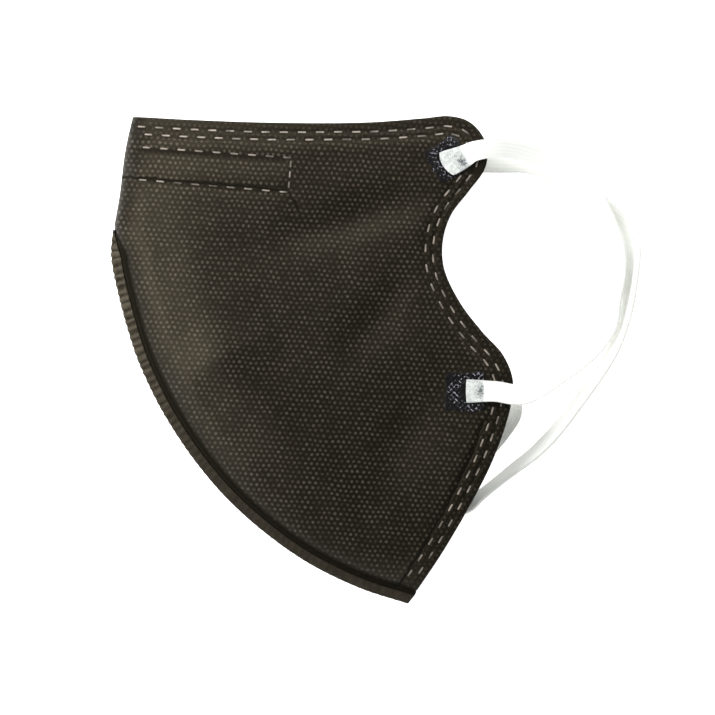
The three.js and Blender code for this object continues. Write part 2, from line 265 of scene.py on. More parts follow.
farBand = {
    "name": "far_loop_band",
    "node": "far_ear_loop",
    "ends": [
        {"flare": 0.15, "slant": 0, "bow": 0.3, "longer": 0, "aside": 0, "stain": 0},
        {"flare": 0.15, "slant": 0, "bow": 0.3, "longer": 0, "aside": 0, "stain": 0},
    ],
    "route": [
        (0.0406, 0.0594, 0.0009, 0), (0.0462, 0.0594, 0.0013, 0), (0.0517, 0.0594, 0.0015, 0),
        (0.0580, 0.0593, 0.0014, 0), (0.0642, 0.0592, 0.0011, 0), (0.0700, 0.0577, 0.0009, 2),
        (0.0754, 0.0549, 0.0010, 6), (0.0795, 0.0523, 0.0012, 10), (0.0834, 0.0494, 0.0015, 16),
        (0.0874, 0.0463, 0.0018, 20), (0.0920, 0.0432, 0.0021, 24), (0.0952, 0.0399, 0.0022, 26),
        (0.0964, 0.0358, 0.0025, 32), (0.0965, 0.0306, 0.0028, 42), (0.0960, 0.0246, 0.0030, 50),
        (0.0952, 0.0184, 0.0031, 54), (0.0940, 0.0126, 0.0032, 58), (0.0924, 0.0074, 0.0032, 60),
        (0.0900, 0.0018, 0.0032, 62), (0.0860, -0.0046, 0.0032, 62), (0.0798, -0.0130, 0.0032, 58),
        (0.0731, -0.0216, 0.0031, 55), (0.0668, -0.0280, 0.0031, 57), (0.0608, -0.0326, 0.0032, 62),
        (0.0556, -0.0367, 0.0032, 66), (0.0504, -0.0409, 0.0031, 62), (0.0464, -0.0438, 0.0027, 46),
        (0.0426, -0.0438, 0.0023, 34), (0.0410, -0.0404, 0.0021, 28), (0.0430, -0.0360, 0.0017, 20),
        (0.0474, -0.0316, 0.0013, 12), (0.0522, -0.0268, 0.0010, 6), (0.0568, -0.0214, 0.0009, 0),
        (0.0602, -0.0156, 0.0012, 2), (0.0592, -0.0115, 0.0016, 4), (0.0550, -0.0096, 0.0018, 0),
        (0.0505, -0.0093, 0.0015, 0), (0.0463, -0.0093, 0.0010, 0),
    ],
}


def bandOutline(size):
    # once round the section, from -1 to 1 across, with ribs on both faces
    across, up = [], []
    flat = 26
    ribShare = size["ribDepth"] / size["thickness"] * 2
    for side in (1, -1):
        for i in range(flat + 1):
            a = side * (1 - 2 * i / flat) * size["flatShare"]
            rib = abs(math.cos(math.pi * size["ribs"] * (a + 1) / 2))
            across.append(a)
            up.append(side * (1 - ribShare * (1 - rib)))
        across.append(-side)
        up.append(0)
    return np.array(across), np.array(up)


def sweepBand(b, size, material):
    line = splinePoints(b["route"], 24)
    total = lengths(line)[-1]
    steps = round(total / (size["step"] * mm))
    path = pointsAt(line, np.linspace(0, total, steps + 1))
    tangent = directions(path[:, :3])
    level = np.cross([0, 0, 1], tangent)
    level /= np.linalg.norm(level, axis=1)[:, None]
    face = np.cross(tangent, level)
    roll = np.radians(path[:, 3])[:, None]
    side = level * np.cos(roll) + face * np.sin(roll)
    up = np.cross(tangent, side)
    across, rise = bandOutline(size)
    ring = len(across)
    bm, place = gridMesh(steps, ring, "band")
    i = np.rint(place[:, 0] * steps).astype(int)
    j = np.rint(place[:, 1] * ring).astype(int) % ring
    whole = total / mm
    along = i / steps * whole
    toEnd = np.minimum(along, whole - along)
    press = 1 - smooth((toEnd - size["weldLength"] + size["weldFadeLead"]) / size["weldFade"])
    halfThick = (size["thickness"] + (size["weldThickness"] - size["thickness"]) * press) / 2 * mm
    width = np.full(len(i), size["width"] / 2 * mm)
    outwards = np.zeros(len(i))
    sideways = np.zeros(len(i))
    mark = np.zeros(len(i))
    for end, way, distance in zip(b["ends"], (-1, 1), (along, whole - along)):
        width *= 1 + end["flare"] * (1 - smooth(distance / (size["weldLength"] + size["flareReach"])))
        slant = across[j] * size["width"] / 2 * math.tan(math.radians(end["slant"]))
        reach = end["bow"] * (1 - across[j] ** 2) + slant + end["longer"]
        outwards += way * reach * np.clip(1 - distance / size["weldLength"], 0, 1) * mm
        sideways += end["aside"] * (1 - smooth(distance / size["asideReach"])) * mm
        stain = bell(distance - size["weldLength"] + size["stainInset"], size["stainLength"])
        stain = size["stainShare"] * stain * bell(across[j] - end["stain"], size["stainWidth"])
        mark += (distance < whole / 2) * press * (1 - size["stainShare"] + stain)
    points = path[i, :3] + side[i] * (across[j] * width + sideways)[:, None]
    points += up[i] * (rise[j] * halfThick)[:, None] + tangent[i] * outwards[:, None]
    moveTo(bm.verts, points)
    band = np.stack([along, across[j] * size["width"] / 2, mark], axis=1)
    layer = bm.verts.layers.float_vector["band"]
    for vert, value in zip(bm.verts, band):
        vert[layer] = value
    bmesh.ops.remove_doubles(bm, verts=bm.verts, dist=0.002 * mm)
    bmesh.ops.holes_fill(bm, edges=[e for e in bm.edges if e.is_boundary], sides=0)
    bmesh.ops.recalc_face_normals(bm, faces=bm.faces)
    obj = finished(b["name"], bm, material, sharp=70)
    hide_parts(b["node"])
    return total


nearLength = sweepBand(nearBand, bandSize, knitMaterial)
farLength = sweepBand(farBand, bandSize, knitMaterial)
print("ear loops swept", round(nearLength, 4), round(farLength, 4))


# Outline of the folded mask, seen from above, and how its two halves lie
outline = {
    "front": [(-53.9, 73.0), (-56.1, 63.0), (-57.9, 49.0), (-59.9, 37.0), (-60.2, 31.0), (-57.4, 17.0),
              (-51.4, -2.0), (-40.5, -22.5), (-25.0, -42.0), (-4.4, -58.8), (13.9, -68.2), (28.9, -73.1)],
    "rear": [(-52.2, 73.0), (-36.0, 72.0), (-12.0, 71.1), (16.0, 71.1), (33.0, 72.3), (41.0, 73.0),
             (46.6, 71.6), (50.4, 68.2), (52.6, 63.0), (51.8, 57.2), (47.0, 50.5), (41.8, 43.6),
             (39.3, 36.0), (39.6, 27.5), (44.2, 17.5), (51.0, 8.5), (57.2, 1.6), (60.2, -6.0),
             (59.4, -14.5), (54.6, -29.0), (48.0, -42.4), (39.2, -57.6), (31.7, -69.0)],
    "rimLift": [(0, 0), (0.2, 1.6), (0.4, 2.4), (0.58, 2.4), (0.76, 3.2), (0.87, 6.9), (0.95, 3.0), (1, 0)],
}
laminate = {
    "seamHeight": 3.4, "gap": 0.2, "wall": 1.6, "rimWall": 1.0, "rimBlend": 8, "edgeRound": 0.45,
    "puffRise": 4.6, "puffReach": 9, "springRise": 8.3, "springReach": 30, "rimDrop": 0.9, "rimDropReach": 9,
    "farReach": 7, "liftReach": 32, "liftedClear": 0.5, "rideShare": 0.3,
    "weldWidth": 3.3, "weldStart": 32, "weldTaper": 12, "weldStep": 0.8,
    "uneven": [(0.22, 34, 1), (0.1, 15, 2)], "calmReach": 11.4,  # height, pitch and seed of slow waves
}


lineShares = np.linspace(0, 1, 481)


def flatLine(rows):
    line = splinePoints([(x, y, 0) for x, y in rows], 40)
    return pointsAt(line, lineShares * lengths(line)[-1])[:, :2]


frontLine = flatLine(outline["front"])
rearLine = flatLine(outline["rear"])
frontLength = lengths(frontLine)[-1]
rearLength = lengths(rearLine)[-1]
frontInward = directions(frontLine)[:, ::-1] * (-1, 1)
rearInward = directions(rearLine)[:, ::-1] * (1, -1)


def onLine(line, shares):
    return np.stack([np.interp(shares, lineShares, line[:, i]) for i in (0, 1)], axis=1)


def weldedAt(share):  # 0 at the nose fold, 1 where the front is welded
    return smooth((share * frontLength - laminate["weldStart"]) / laminate["weldTaper"])


def weldInset(share):
    return (laminate["weldWidth"] + laminate["gap"]) * weldedAt(share)


def frontPoint(share, inwards):
    return onLine(frontLine, share) + onLine(frontInward, share) * np.reshape(inwards, (-1, 1))


panelFrontLine = frontPoint(lineShares, weldInset(lineShares))


def nearestOn(line, points):
    best = np.full(len(points), 1e9)
    share = np.zeros(len(points))
    coarse = line[::2]
    for i in range(len(coarse) - 1):
        a, b = coarse[i], coarse[i + 1]
        t = np.clip(((points - a) @ (b - a)) / ((b - a) @ (b - a)), 0, 1)
        d = np.linalg.norm(points - a - t[:, None] * (b - a), axis=1)
        closer = d < best
        best[closer] = d[closer]
        share[closer] = ((i + t) / (len(coarse) - 1))[closer]
    return best, share


def liftAt(share):
    rows = outline["rimLift"]
    lift = np.zeros(len(share))
    for (s0, z0), (s1, z1) in zip(rows, rows[1:]):
        inside = (share >= s0) & (share <= s1)
        lift[inside] = (z0 + (z1 - z0) * smooth((share - s0) / (s1 - s0)))[inside]
    return lift


class Place:
    # what both faces of a half need to know about points on it, in mm
    def __init__(self, points):
        lam = laminate
        self.x, self.y = points[:, 0], points[:, 1]
        self.front, self.frontShare = nearestOn(panelFrontLine, points)
        self.rear, self.rearShare = nearestOn(rearLine, points)
        edge = np.minimum(self.front, self.rear)
        self.thickness = lam["rimWall"] + (lam["wall"] - lam["rimWall"]) * smooth(edge / lam["rimBlend"])
        rimLift = liftAt(self.rearShare) * (1 - smooth(self.rear / lam["liftReach"]))
        self.lift = rimLift * smooth(self.front / lam["farReach"])
        self.welded = weldedAt(self.frontShare)


def lineFrame(p, ends):
    # distance along and across a straight row, for points in mm
    (x0, y0), (x1, y1) = ends
    length = math.hypot(x1 - x0, y1 - y0)
    ux, uy = (x1 - x0) / length, (y1 - y0) / length
    return (p.x - x0) * ux + (p.y - y0) * uy, (p.y - y0) * ux - (p.x - x0) * uy, length


def slide(rows, at):  # value between rows of distance and value
    return np.interp(at, *zip(*rows))


# Two staggered rows of short weld bars follow the open rim. At distances along the rim, slip moves the
# bars along their row and shift moves both rows inwards.
rimRows = {
    "rows": [
        {"offset": 2.75, "start": 0.9,
         "slip": [(0, 0.4), (40, -0.2), (70, -0.2), (104, 0.4), (122, -0.3), (150, 0.1), (190, 0.6),
                  (208, 0.5), (236, 2.3), (258, 2.6)]},
        {"offset": 5.0, "start": 3.6,
         "slip": [(0, 0), (40, -0.9), (60, -0.2), (80, 0.5), (89, 0.6), (97, -0.2), (101, -0.5), (120, 0),
                  (138, 2.0), (152, 3.3), (178, 3.5), (208, 1.0), (222, 1.5), (240, 2.9), (258, 3.2)]},
    ],
    "shift": [(0, 0.15), (40, 0.15), (60, -0.05), (84, 0.3), (100, 0.4), (112, 0.1), (124, -0.35),
              (152, 0.15), (182, 0.6), (200, 0.1), (236, -0.2), (259, -0.3)],
    "pitch": 5.42, "length": 2.45, "width": 0.5, "depth": 0.3, "valley": 0.75, "deeper": 0.25,
    # pressed, shadeWidth and shadeMore set the painted shade in the valleys of the rows, more under each bar
    "pressed": 0.5, "shadeWidth": 0.8, "shadeMore": 0.4, "overrun": 1.2, "frontFade": 3,
}


def rowOffset(row, share):
    return row["offset"] + slide(rimRows["shift"], share * rearLength)


def rowPlaces(row):
    # points of a row's line, run on past the chin, and the count of bars up to each
    points = rearLine + rearInward * rowOffset(row, lineShares)[:, None]
    ahead = (points[-1] - points[-2]) / np.linalg.norm(points[-1] - points[-2])
    points = np.vstack([points, points[-1] + ahead * rimRows["overrun"]])
    run = lengths(points)
    return points, (run - row["start"] - slide(row["slip"], run)) / rimRows["pitch"]


def barWave(row, share, deeper):  # 1 at the bars and less between them
    wave = np.cos(2 * math.pi * np.interp(share, lineShares, rowPlaces(row)[1][:-1]))
    return 1 - deeper + deeper * wave


def rimRelief(p):
    # the two rows press valleys, deepest under each bar
    depth = np.zeros(len(p.x))
    for row in rimRows["rows"]:
        valley = bell(p.rear - rowOffset(row, p.rearShare), rimRows["valley"])
        depth -= rimRows["depth"] * barWave(row, p.rearShare, rimRows["deeper"]) * valley
    return depth * smooth(p.front / rimRows["frontFade"])


# The nose clip's pocket, closed by three rows of bars. Swell is its height at distances under its upper row.
pocket = {
    "upper": {"ends": [(-52.0, 63.9), (-6.4, 60.5)], "first": 2.4, "count": 9, "pitch": 5.3, "length": 2.3},
    "lower": {"ends": [(-52.2, 54.1), (-7.2, 50.2)], "first": 1.5, "count": 9, "pitch": 5.3, "length": 2.3},
    "end": {"ends": [(-6.2, 59.6), (-6.9, 51.4)], "first": 1.0, "count": 3, "pitch": 3.1, "length": 1.9},
    "swell": [(-3.5, 0), (-0.4, 0.12), (0.7, -0.42), (2.2, -0.1), (6.0, 0.45), (8.6, 0.6), (9.75, 0.25),
              (10.3, -0.3), (12.7, 0)],
    "width": 0.5, "startFade": 3, "endFade": 1.6, "frontFade": 2,
}


def pocketRelief(p):
    # drops just under the upper row, swells towards the lower row and steps down over it
    along, above, length = lineFrame(p, pocket["upper"]["ends"])
    ends = smooth((length - along) / pocket["endFade"]) * smooth(along / pocket["startFade"] + 1)
    return slide(pocket["swell"], -above) * ends * smooth(p.front / pocket["frontFade"])


# Sharp creases: the chin's at distances along the rim and inwards from it, one along the pocket's lower
# row, and a short straight one. Points past a crease's end count as far from it.
creases = {
    "chin": [(200, 6.8), (235, 6.0), (259, 5.4)], "chinStart": 196, "chinFade": 8, "chinWidth": 0.8,
    "pocketOffset": 0.55, "pocketBend": 0.5, "pocketBendLength": 6, "pocketPast": 0.2,
    "short": [(-6.6, 50.2), (-3.4, 44.0)], "shortWidth": 0.6, "shortDepth": 0.32,
    "depth": 0.4, "overrun": 0.8, "far": 400,
    "otherFaces": 9,  # added on the faces without creases
}


def chinCrease(p):
    # distance in mm to the sharp crease that runs inside the rows down to the chin
    along = p.rearShare * rearLength
    before = 1 - smooth((along - creases["chinStart"]) / creases["chinFade"])
    return p.rear - slide(creases["chin"], along) + creases["far"] * before


def pocketCrease(p):
    along, across, length = lineFrame(p, pocket["lower"]["ends"])
    past = along - length
    bend = creases["pocketBend"] * smooth(past / creases["pocketBendLength"] + 1)
    beyond = smooth((past - creases["pocketPast"]) / creases["overrun"])
    return across - creases["pocketOffset"] + bend + creases["far"] * beyond


def shortCrease(p):
    along, across, length = lineFrame(p, creases["short"])
    inside = smooth(along / creases["overrun"] + 1) * smooth((length - along) / creases["overrun"] + 1)
    return across + creases["far"] * (1 - inside)


def creaseRelief(p):
    chin = creases["depth"] * bell(chinCrease(p), creases["chinWidth"])
    return -chin - creases["shortDepth"] * bell(shortCrease(p), creases["shortWidth"])


# Soft dents and swells: middle, direction in degrees, half length and width, height
folds = [
    (15, 43, 16, 24, 6, -1.3), (-3, 42, -50, 16, 5, -0.5), (21, 14, 55, 18, 6, -1.0),
    (-31, -2, 30, 14, 8, 0.9), (28, -24, 60, 22, 8, -0.5),
]


def foldRise(p):
    total = np.zeros(len(p.x))
    for x, y, turn, long, wide, height in folds:
        c, s = math.cos(math.radians(turn)), math.sin(math.radians(turn))
        along = (p.x - x) * c + (p.y - y) * s
        across = (p.y - y) * c - (p.x - x) * s
        total += height * np.exp(-((along / long) ** 2) - (across / wide) ** 2)
    return total


# The slack of the near half stands up in a low ridge beside the weld: distance from the weld, reach, and
# rise at distances along the front
ridge = {"middle": 22, "reach": 11,
         "rise": [(20, 0.5), (60, 0.9), (85, 2.1), (120, 1.6), (150, 0.9), (188, 0.4)]}

# Pads where the ear loops are welded on: middle, direction in degrees, half length and width, and the
# middle of the band's end, which the painted glints keep clear of
loopWelds = [
    {"x": 40.9, "y": 60.0, "turn": 34, "long": 5.7, "wide": 5.7, "endX": 42.0, "endY": 60.6, "near": True},
    {"x": 46.2, "y": -9.6, "turn": 0, "long": 6.4, "wide": 6.0, "endX": 47.6, "endY": -9.4, "near": True},
    {"x": 42.6, "y": 59.4, "turn": 0, "long": 6.4, "wide": 5.6, "endX": 44.0, "endY": 59.4, "near": False},
    {"x": 48.3, "y": -9.3, "turn": 0, "long": 6.4, "wide": 5.6, "endX": 49.7, "endY": -9.3, "near": False},
]
nearWelds = [weld for weld in loopWelds if weld["near"]]
farWelds = [weld for weld in loopWelds if not weld["near"]]


def wander(p, scale, seed):
    # slow uneven wave, the same each run
    total = np.zeros(len(p.x))
    for k in range(4):
        turn = seed * 1.7 + k * 2.4
        pitch = scale * (0.8 + 0.17 * k)
        along = p.x * math.cos(turn) + p.y * math.sin(turn)
        total += np.sin(along * 2 * math.pi / pitch + seed * 3.1 + k * 1.9)
    return total / 4


def nearHeight(p, drawnIn, thickness, detail):
    lam = laminate
    floor = lam["weldStep"] * p.welded * detail
    rise = roundRise((p.front - drawnIn - floor) / (lam["puffReach"] - drawnIn - floor))
    fromFront = smooth(p.front / lam["puffReach"])
    fromRim = smooth(p.rear / lam["rimDropReach"])
    inner = fromFront * fromRim
    height = lam["seamHeight"] + lam["gap"] / 2 + (lam["puffRise"] - thickness) * rise
    height += lam["springRise"] * (1 - np.exp((drawnIn - p.front) / lam["springReach"]))
    height += lam["rideShare"] * p.lift - lam["rimDrop"] * (1 - fromRim) * fromFront + foldRise(p) * inner
    along = p.frontShare * frontLength
    height += slide(ridge["rise"], along) * bell(p.front - ridge["middle"], ridge["reach"]) * inner
    if detail:
        calm = 1
        for weld in nearWelds:
            calm = calm * (1 - bell(np.hypot(p.x - weld["x"], p.y - weld["y"]), lam["calmReach"]))
        slow = sum(size * wander(p, pitch, seed) for size, pitch, seed in lam["uneven"])
        height += rimRelief(p) + pocketRelief(p) + creaseRelief(p) + slow * inner * calm
    return height


def farHeight(p, drawnIn, thickness, detail):
    lam = laminate
    drawnUp = lam["seamHeight"] - lam["gap"] / 2
    sag = (drawnUp - thickness) * roundRise((p.front - drawnIn) / (lam["farReach"] - drawnIn))
    height = drawnUp - sag + p.lift
    if detail:
        height -= rimRelief(p) * smooth(p.lift / lam["liftedClear"])  # only where it stands off the surface
    return height


# Where else a half is pressed thin and lies in its own shade, which is painted into its colour as darker
# shade: along straight rows, how far across, how wide, how much, and how far it fades in before the row
# and out at its end. Then round and beside the welds of the loops, along the front weld, and a painted
# shadow of the near band at a spot under it.
pressedAndShadedRows = [
    {"ends": pocket["upper"]["ends"], "offset": -0.9, "width": 0.7, "share": 0.7,
     "lead": 2, "past": 0, "fade": 1.5},
    {"ends": pocket["lower"]["ends"], "offset": 0.35, "width": 0.45, "share": 0.85,
     "lead": 2, "past": 0.5, "fade": 1.5},
    {"ends": pocket["end"]["ends"], "offset": 0, "width": 0.6, "share": 0.5,
     "lead": 1, "past": 1, "fade": 1},
    {"ends": creases["short"], "offset": 0, "width": 0.35, "share": 0.7,
     "lead": 1, "past": 0.5, "fade": 2},
]
pressed = {
    "front": {"offset": 0.5, "width": 1.2, "share": 0.85},
    "chin": {"width": 0.6, "share": 0.4},
    "welds": {"share": 0.45, "overlap": 0.5, "fade": 2.4},
    "shade": {"x": 50.2, "y": 57.3, "stretch": 1.6, "radius": 1.6, "fade": 1.6, "share": 0.75},
}


def pressAndShadeAt(p):
    front, chin, beside, shade = [pressed[key] for key in ("front", "chin", "welds", "shade")]
    layers = [
        front["share"] * p.welded * bell(p.front - front["offset"], front["width"]),
        chin["share"] * bell(chinCrease(p), chin["width"]),
    ]
    # painted shade in the valleys of the rim rows, darker under each bar
    for row in rimRows["rows"]:
        valley = bell(p.rear - rowOffset(row, p.rearShare), rimRows["shadeWidth"])
        layers.append(rimRows["pressed"] * barWave(row, p.rearShare, rimRows["shadeMore"]) * valley)
    for weld in nearWelds:
        away = np.hypot(p.x - weld["x"], p.y - weld["y"]) - weld["long"] + beside["overlap"]
        layers.append(beside["share"] * (1 - smooth(away / beside["fade"])))
    # painted shadow of the near band on the cloth
    away = np.hypot((p.x - shade["x"]) / shade["stretch"], p.y - shade["y"]) - shade["radius"]
    layers.append(shade["share"] * (1 - smooth(away / shade["fade"])))
    for row in pressedAndShadedRows:
        along, across, length = lineFrame(p, row["ends"])
        inside = smooth(along / row["lead"] + 1) * smooth((length + row["past"] - along) / row["fade"])
        layers.append(row["share"] * bell(across - row["offset"], row["width"]) * inside)
    return np.max(layers, axis=0)


half = {"ribs": 420, "cells": 104, "bunching": 0.11, "flat": (0.120, 0.146), "area": 0.0118}


def makeHalf(name, node, heights, outerOnTop, material):
    lam = laminate
    bm, upper, lower = slabMesh(half["ribs"], half["cells"], "laid", "state", "crease")
    faces = []
    for (verts, grid), isOuter in ((upper, outerOnTop), (lower, not outerOnTop)):
        drawnIn = 0 if isOuter else lam["rimWall"]
        share = grid[:, 0]
        across = grid[:, 1] - half["bunching"] * np.sin(2 * math.pi * grid[:, 1])  # closer near both edges
        start = frontPoint(share, weldInset(share) + drawnIn)
        flat = start + (onLine(rearLine, share) - start) * across[:, None]
        p = Place(flat)
        p.front = np.where(grid[:, 1] < 1e-4, drawnIn, np.maximum(p.front, drawnIn))
        p.rear = np.where(grid[:, 1] > 1 - 1e-4, 0, p.rear)
        outer = heights(p, 0, 0, 1)
        inner = heights(p, lam["rimWall"], p.thickness, 0)
        middle = (outer + inner) / 2
        face = outer if isOuter else inner
        z = middle + (face - middle) * roundRise(p.rear / lam["edgeRound"])  # the cut rim is rounded over
        moveTo(verts, np.column_stack([flat * mm, z * mm]))
        faces.append((verts, p, isOuter))
    bmesh.ops.recalc_face_normals(bm, faces=bm.faces)
    laid = bm.verts.layers.float_vector["laid"]  # mm across the cloth, and 1 on its outer face
    state = bm.verts.layers.float_vector["state"]  # pressed and painted shade, and distance from the rim in mm
    crease = bm.verts.layers.float_vector["crease"]  # distances in mm to the three sharp creases
    for verts, p, isOuter in faces:
        press = pressAndShadeAt(p) if isOuter else np.zeros(len(p.x))
        sharp = np.stack([chinCrease(p), pocketCrease(p), shortCrease(p)], axis=1)
        if not isOuter or not outerOnTop:
            sharp += creases["otherFaces"]
        for v, x, y, k, r, c in zip(verts, p.x, p.y, press, p.rear, sharp):
            v[laid] = (x, y, float(isOuter))
            v[state] = (k, r, 0)
            v[crease] = c
    tree = BVHTree.FromBMesh(bm)
    obj = finished(name, bm, material)
    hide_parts(node)
    return obj, tree


# Point-bonded spunbond polypropylene, dyed black: matt fibres held by a hexagonal field of small flat
# melted spots, which glint a little and read lighter than the fibres between them. Sizes are in mm.
spunbond = {
    # pressed is the near black painted as shade into pressed places and creases and as the near band's
    # shadow; it also shows between the fibres
    "spot": "433e36", "spotDim": "25211b", "pressed": "030302", "warm": "080604", "cool": "060504",
    "gloss": 0.2, "glossTint": "fff0cd", "roughness": 0.47, "spotRoughness": 0.37, "pressedRougher": 0.45,
    "rowPitch": 1.45, "turns": [26, 86, 146], "spotLevels": (2.1, 5.0), "frayed": 4.5,
    "driftSize": 6.25, "drift": 1.1, "meltSize": 1.818, "rimFade": (4.2, 7.0), "rimShare": 0.5,
    "fibreSize": 0.4762, "fibreLevels": (0.38, 0.66), "fibreShow": 2.1, "patchSize": 16.67,
    "creaseWidth": 0.3, "creaseEdges": (0.5, 1.8), "creaseSway": 0.9, "raggedSize": 1.818, "creaseGaps": 0.7,
    "creaseGapLevels": (0.35, 0.5), "fibreRise": 1.2, "creaseDrop": 5.0, "bump": 0.6, "bumpDepth": 0.06,
}


def makeSpunbond(s):
    material, tree, shader = newMaterial("black spunbond laminate")
    laid = addNode(tree, "Attribute", attribute_name="laid").outputs["Vector"]
    state = addNode(tree, "Attribute", attribute_name="state").outputs["Vector"]
    stateParts = addNode(tree, "SeparateXYZ", {0: state}).outputs
    fibres = addNode(tree, "TexNoise",
                     {"Vector": laid, "Scale": 1 / s["fibreSize"], "Detail": 4, "Roughness": 0.7})
    # the creases are thin ragged lines, so they are drawn here at their true width, with painted shade along
    # them
    crease = addNode(tree, "Attribute", attribute_name="crease").outputs["Vector"]
    ragged = addNode(tree, "TexNoise", {"Vector": laid, "Scale": 1 / s["raggedSize"], "Detail": 3})
    sway = addNode(tree, "MapRange", {0: ragged, 3: -s["creaseSway"], 4: s["creaseSway"]})
    near = None
    for distance in addNode(tree, "SeparateXYZ", {0: crease}).outputs:
        moved = addNode(tree, "Math", {0: distance, 1: sway}, operation="ADD")
        away = addNode(tree, "Math", {0: moved}, operation="ABSOLUTE")
        near = away if near is None else addNode(tree, "Math", {0: near, 1: away}, operation="MINIMUM")
    inner, outer = [s["creaseWidth"] * edge for edge in s["creaseEdges"]]
    furrow = addNode(tree, "MapRange", {0: near, 1: inner, 2: outer, 3: 1, 4: 0})
    gaps = addNode(tree, "MapRange",
                   {0: fibres, 1: s["creaseGapLevels"][0], 2: s["creaseGapLevels"][1],
                    3: s["creaseGaps"], 4: 1})
    creaseAndShade = addNode(tree, "Math", {0: furrow, 1: gaps}, operation="MULTIPLY")
    # pressed places, creases and the band's shadow get painted shade in near black below
    pressed = addNode(tree, "Math", {0: creaseAndShade, 1: stateParts[0]}, operation="MAXIMUM")
    # three crossing waves leave a hexagonal field of spots, which drift a little from straight rows
    drift = addNode(tree, "TexNoise", {"Vector": laid, "Scale": 1 / s["driftSize"], "Detail": 1})
    offset = addNode(tree, "VectorMath", {0: drift.outputs["Color"], 3: s["drift"]}, operation="SCALE")
    place = addNode(tree, "VectorMath", {0: laid, 1: offset}, operation="ADD")
    waves = None
    for turn in map(math.radians, s["turns"]):
        wave = [2 * math.pi / s["rowPitch"] * part for part in (math.cos(turn), math.sin(turn), 0)]
        phase = addNode(tree, "VectorMath", {0: place, 1: wave}, operation="DOT_PRODUCT")
        crest = addNode(tree, "Math", {0: phase}, operation="COSINE")
        waves = crest if waves is None else addNode(tree, "Math", {0: waves, 1: crest}, operation="ADD")
    frayed = addNode(tree, "Math", {0: fibres, 1: s["frayed"], 2: waves}, operation="MULTIPLY_ADD")
    spots = addNode(tree, "MapRange", {0: frayed, 1: s["spotLevels"][0], 2: s["spotLevels"][1]})
    keep = addNode(tree, "Math", {0: 1.0, 1: pressed}, operation="SUBTRACT", use_clamp=True)
    inRim = addNode(tree, "MapRange",
                    {0: stateParts[1], 1: s["rimFade"][0], 2: s["rimFade"][1], 3: s["rimShare"], 4: 1.0})
    kept = addNode(tree, "Math", {0: keep, 1: inRim}, operation="MULTIPLY")
    spotShare = addNode(tree, "Math", {0: spots, 1: kept}, operation="MULTIPLY")
    # colours: two close blacks in patches, the fibres over them, the spots unevenly melted, and last the
    # painted shade in near black
    patches = addNode(tree, "TexNoise", {"Vector": laid, "Scale": 1 / s["patchSize"], "Detail": 3})
    tint = addNode(tree, "MapRange", {0: patches, 1: noiseLow, 2: noiseHigh})
    cloth = addNode(tree, "Mix", {0: tint, 6: hexColour(s["warm"]), 7: hexColour(s["cool"])},
                    data_type="RGBA")
    thin = addNode(tree, "MapRange",
                   {0: fibres, 1: s["fibreLevels"][0], 2: s["fibreLevels"][1], 3: 0.0, 4: s["fibreShow"]})
    fibre = addNode(tree, "Mix", {0: thin, 6: hexColour(s["pressed"]), 7: cloth},
                    data_type="RGBA", clamp_factor=False)
    melt = addNode(tree, "TexNoise", {"Vector": laid, "Scale": 1 / s["meltSize"], "Detail": 1})
    bright = addNode(tree, "MapRange", {0: melt, 1: noiseLow, 2: noiseHigh})
    spot = addNode(tree, "Mix", {0: bright, 6: hexColour(s["spotDim"]), 7: hexColour(s["spot"])},
                   data_type="RGBA")
    spotted = addNode(tree, "Mix", {0: spotShare, 6: fibre, 7: spot}, data_type="RGBA")
    colour = addNode(tree, "Mix", {0: pressed, 6: spotted, 7: hexColour(s["pressed"])}, data_type="RGBA")
    rough = addNode(tree, "MapRange", {0: spotShare, 3: s["roughness"], 4: s["spotRoughness"]})
    dull = addNode(tree, "Math", {0: pressed, 1: s["pressedRougher"], 2: rough}, operation="MULTIPLY_ADD")
    height = addNode(tree, "Math", {0: fibres, 1: s["fibreRise"], 2: spots}, operation="MULTIPLY_ADD")
    sunk = addNode(tree, "Math", {0: creaseAndShade, 1: -s["creaseDrop"], 2: height}, operation="MULTIPLY_ADD")
    bump = addNode(tree, "Bump", {"Height": sunk, "Strength": s["bump"], "Distance": s["bumpDepth"] * mm})
    setInputs(tree, shader, {
        "Base Color": colour, "Roughness": dull, "Normal": bump,
        "Specular IOR Level": s["gloss"], "Specular Tint": hexColour(s["glossTint"]),
    })
    return material


spunbondMaterial = makeSpunbond(spunbond)
farShell, farTree = makeHalf("far_laminate", "far_half", farHeight, False, spunbondMaterial)
nearShell, nearTree = makeHalf("near_laminate", "near_half", nearHeight, True, spunbondMaterial)
print("laminate halves laid", len(nearShell.data.polygons), len(farShell.data.polygons))


# Above the weld the mask is folded, so the laminate turns over there from one half into the other
turnOver = {"inset": 0.02, "depth": 1.3, "thickness": 0.18, "overlap": 5, "steps": 90}


def makeTurnOver(t, material):
    bm, upper, lower = slabMesh(t["steps"], 2)
    end = (laminate["weldStart"] + t["overlap"]) / frontLength
    for (verts, grid), side in ((upper, 1), (lower, -1)):
        share = grid[:, 0] * end
        flat = frontPoint(share, weldInset(share) + t["inset"] + t["depth"] * grid[:, 1])
        z = laminate["seamHeight"] + side * t["thickness"] / 2
        moveTo(verts, [(x * mm, y * mm, z * mm) for x, y in flat])
    bmesh.ops.recalc_face_normals(bm, faces=bm.faces)
    obj = finished("nose_fold", bm, material)


makeTurnOver(turnOver, spunbondMaterial)
print("nose fold closed")


